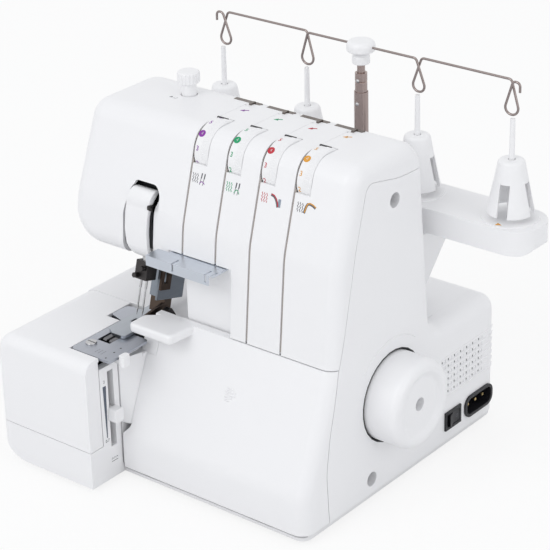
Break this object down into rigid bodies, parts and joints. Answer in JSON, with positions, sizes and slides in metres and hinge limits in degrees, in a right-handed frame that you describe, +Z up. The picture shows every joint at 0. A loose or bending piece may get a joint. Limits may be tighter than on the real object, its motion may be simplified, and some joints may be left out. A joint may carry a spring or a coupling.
{
  "type": "serger overlock machine",
  "caption": "free-standing overlock sewing machine with tension dials, leaning needle and presser bars, knives, loopers behind a drop-down door, swing-out cloth plate, handwheel and spool stand",
  "frame": {"origin": "middle of the whole machine's bounding box, on the table under the feet", "axes": "+X to the operator's right (handwheel side), +Y to the back, +Z up"},
  "size_m": [0.3348, 0.2716, 0.3055],
  "materials": {
    "white_shell": "smooth white plastic with a soft gloss",
    "white_trim": "white plastic, slightly greyer than the covers",
    "grey_pan": "fine matt pale grey plastic",
    "black_plastic": "black moulded plastic",
    "foot_rubber": "black rubber",
    "belt_rubber": "black ribbed rubber",
    "plate_steel": "brushed blue-grey steel",
    "dark_steel": "darker machined steel",
    "bright_steel": "polished steel",
    "mast_chrome": "warm bright plating",
    "wire_steel": "drawn steel wire",
    "frame_alloy": "plain cast alloy",
    "bush_bronze": "sintered bronze",
    "motor_paint": "grey painted motor can",
    "pin_brass": "bright contact brass"
  },
  "bodies": {
    "machine": {"base_pan": "grey_pan", "rubber_feet": "foot_rubber", "upper_cover": "white_shell", "rear_cover": "white_shell", "right_cover": "white_shell", "bed_cover": "white_shell", "left_base": "white_shell", "take_up_cover": "white_shell", "frame_casting": "frame_alloy", "shaft_bushes": "bush_bronze", "drive_belt": "belt_rubber", "motor": "motor_paint", "tension_discs": "dark_steel", "top_thread_guides": "plate_steel", "needle_thread_guide": "plate_steel", "switch_frame": "black_plastic", "inlet_socket": "black_plastic", "inlet_pins": "pin_brass", "case_screws": "dark_steel", "needle_plate": "plate_steel", "needle_plate_screw": "bright_steel", "lower_bracket": "dark_steel", "lower_knife": "dark_steel", "spool_stand": "white_shell", "spool_pins": "white_trim", "cone_holders": "white_trim", "mast_base_tube": "mast_chrome"},
    "wheel_train": {"handwheel": "white_shell", "main_shaft": "bright_steel", "shaft_pulley": "white_trim"},
    "motor_shaft": {"motor_pulley": "white_trim"},
    "needle_train": {"needle_bar": "bright_steel", "needle_clamp": "dark_steel", "needles": "bright_steel"},
    "lower_looper_body": {"lower_looper": "bright_steel"},
    "upper_looper_body": {"upper_looper": "bright_steel"},
    "knife_train": {"upper_knife": "bright_steel", "upper_knife_holder": "dark_steel"},
    "feed_train": {"feed_dog": "dark_steel"},
    "take_up": {"take_up_lever": "dark_steel"},
    "presser_train": {"presser_bar": "bright_steel", "presser_foot_holder": "dark_steel", "presser_foot": "plate_steel"},
    "lifter": {"presser_lifter": "white_trim"},
    "pressure_screw": {"pressure_knob": "white_trim"},
    "dial_1": {"tension_dial_1": "white_trim"},
    "dial_2": {"tension_dial_2": "white_trim"},
    "dial_3": {"tension_dial_3": "white_trim"},
    "dial_4": {"tension_dial_4": "white_trim"},
    "door_carriage": {"looper_cover_pin": "dark_steel"},
    "front_door": {"looper_cover": "white_shell"},
    "swing_plate": {"cloth_plate": "white_shell"},
    "feed_ratio": {"differential_slider": "white_trim"},
    "stitch_finger": {"stitch_finger_lever": "white_trim"},
    "rocker": {"switch_rocker": "black_plastic"},
    "mast_middle": {"mast_middle_tube": "mast_chrome"},
    "mast_top": {"mast_top_rod": "mast_chrome"},
    "tree": {"mast_cap": "white_trim", "thread_tree": "wire_steel"}
  },
  "joints": [
    {"name": "handwheel_turn", "type": "hinge", "parent": "machine", "child": "wheel_train", "pos_m": [0.0946, 0.0006, 0.0776], "axis": [1, 0, 0], "continuous": true},
    {"name": "motor_turn", "type": "hinge", "parent": "machine", "child": "motor_shaft", "pos_m": [0.0276, 0.0912, 0.056], "axis": [1, 0, 0], "continuous": true},
    {"name": "needle_bar_slide", "type": "slide", "parent": "machine", "child": "needle_train", "axis": [0, 0.2756, 0.9613], "range_m": [-0.026, 0]},
    {"name": "lower_looper_swing", "type": "hinge", "parent": "machine", "child": "lower_looper_body", "pos_m": [-0.0834, -0.0528, 0.036], "axis": [0, 1, 0], "range_deg": [0, 16]},
    {"name": "upper_looper_swing", "type": "hinge", "parent": "machine", "child": "upper_looper_body", "pos_m": [-0.0574, -0.0528, 0.038], "axis": [0, 1, 0], "range_deg": [-12, 0]},
    {"name": "upper_knife_slide", "type": "slide", "parent": "machine", "child": "knife_train", "axis": [0, 0, 1], "range_m": [-0.006, 0]},
    {"name": "feed_dog_slide", "type": "slide", "parent": "machine", "child": "feed_train", "axis": [0, 1, 0], "range_m": [0, 0.003]},
    {"name": "take_up_swing", "type": "hinge", "parent": "machine", "child": "take_up", "pos_m": [-0.0804, -0.0278, 0.19], "axis": [1, 0, 0], "range_deg": [0, 14]},
    {"name": "presser_bar_slide", "type": "slide", "parent": "machine", "child": "presser_train", "axis": [0, 0.2756, 0.9613], "range_m": [0, 0.006]},
    {"name": "presser_lifter_swing", "type": "hinge", "parent": "machine", "child": "lifter", "pos_m": [-0.0884, 0.0092, 0.176], "axis": [1, 0, 0], "range_deg": [0, 45]},
    {"name": "pressure_knob_turn", "type": "hinge", "parent": "machine", "child": "pressure_screw", "pos_m": [-0.0917, 0.0067, 0.259], "axis": [0, 0, 1], "range_deg": [-360, 360]},
    {"name": "tension_dial_1_turn", "type": "hinge", "parent": "machine", "child": "dial_1", "pos_m": [0.0536, -0.0239, 0.2437], "axis": [1, 0, 0], "range_deg": [-133, 167]},
    {"name": "tension_dial_2_turn", "type": "hinge", "parent": "machine", "child": "dial_2", "pos_m": [0.0232, -0.0239, 0.2437], "axis": [1, 0, 0], "range_deg": [-133, 167]},
    {"name": "tension_dial_3_turn", "type": "hinge", "parent": "machine", "child": "dial_3", "pos_m": [-0.0072, -0.0239, 0.2437], "axis": [1, 0, 0], "range_deg": [-133, 167]},
    {"name": "tension_dial_4_turn", "type": "hinge", "parent": "machine", "child": "dial_4", "pos_m": [-0.0376, -0.0239, 0.2437], "axis": [1, 0, 0], "range_deg": [-133, 167]},
    {"name": "looper_cover_slide", "type": "slide", "parent": "machine", "child": "door_carriage", "axis": [1, 0, 0], "range_m": [0, 0.008]},
    {"name": "looper_cover_hinge", "type": "hinge", "parent": "door_carriage", "child": "front_door", "pos_m": [0.0106, -0.0996, 0.0118], "axis": [1, 0, 0], "range_deg": [0, 90]},
    {"name": "cloth_plate_swing", "type": "hinge", "parent": "machine", "child": "swing_plate", "pos_m": [-0.1634, -0.0448, 0.064], "axis": [0, 0, -1], "range_deg": [0, 95]},
    {"name": "differential_slide", "type": "slide", "parent": "machine", "child": "feed_ratio", "axis": [0, 0, 1], "range_m": [-0.0225, 0.0305]},
    {"name": "stitch_finger_slide", "type": "slide", "parent": "machine", "child": "stitch_finger", "axis": [0, 1, 0], "range_m": [0, 0.008]},
    {"name": "switch_rocker_tilt", "type": "hinge", "parent": "machine", "child": "rocker", "pos_m": [0.0936, 0.0769, 0.0246], "axis": [0, 0, 1], "range_deg": [-16, 0]},
    {"name": "mast_middle_slide", "type": "slide", "parent": "machine", "child": "mast_middle", "axis": [0, 0, 1], "range_m": [0, 0.095]},
    {"name": "mast_top_slide", "type": "slide", "parent": "mast_middle", "child": "mast_top", "axis": [0, 0, 1], "range_m": [0, 0.095]},
    {"name": "thread_tree_swivel", "type": "hinge", "parent": "mast_top", "child": "tree", "pos_m": [0.0116, 0.0772, 0.3], "axis": [0, 0, 1], "range_deg": [-90, 20]}
  ],
  "couplings": [
    {"joint": "motor_turn", "follows": "handwheel_turn", "ratio": 3},
    {"joint": "lower_looper_swing", "follows": "needle_bar_slide", "rad_per_m": -10.74},
    {"joint": "upper_looper_swing", "follows": "needle_bar_slide", "rad_per_m": 8.05},
    {"joint": "upper_knife_slide", "follows": "needle_bar_slide", "ratio": 0.23},
    {"joint": "feed_dog_slide", "follows": "needle_bar_slide", "ratio": -0.115},
    {"joint": "take_up_swing", "follows": "needle_bar_slide", "rad_per_m": -9.39},
    {"joint": "presser_lifter_swing", "follows": "presser_bar_slide", "rad_per_m": 130.8}
  ]
}
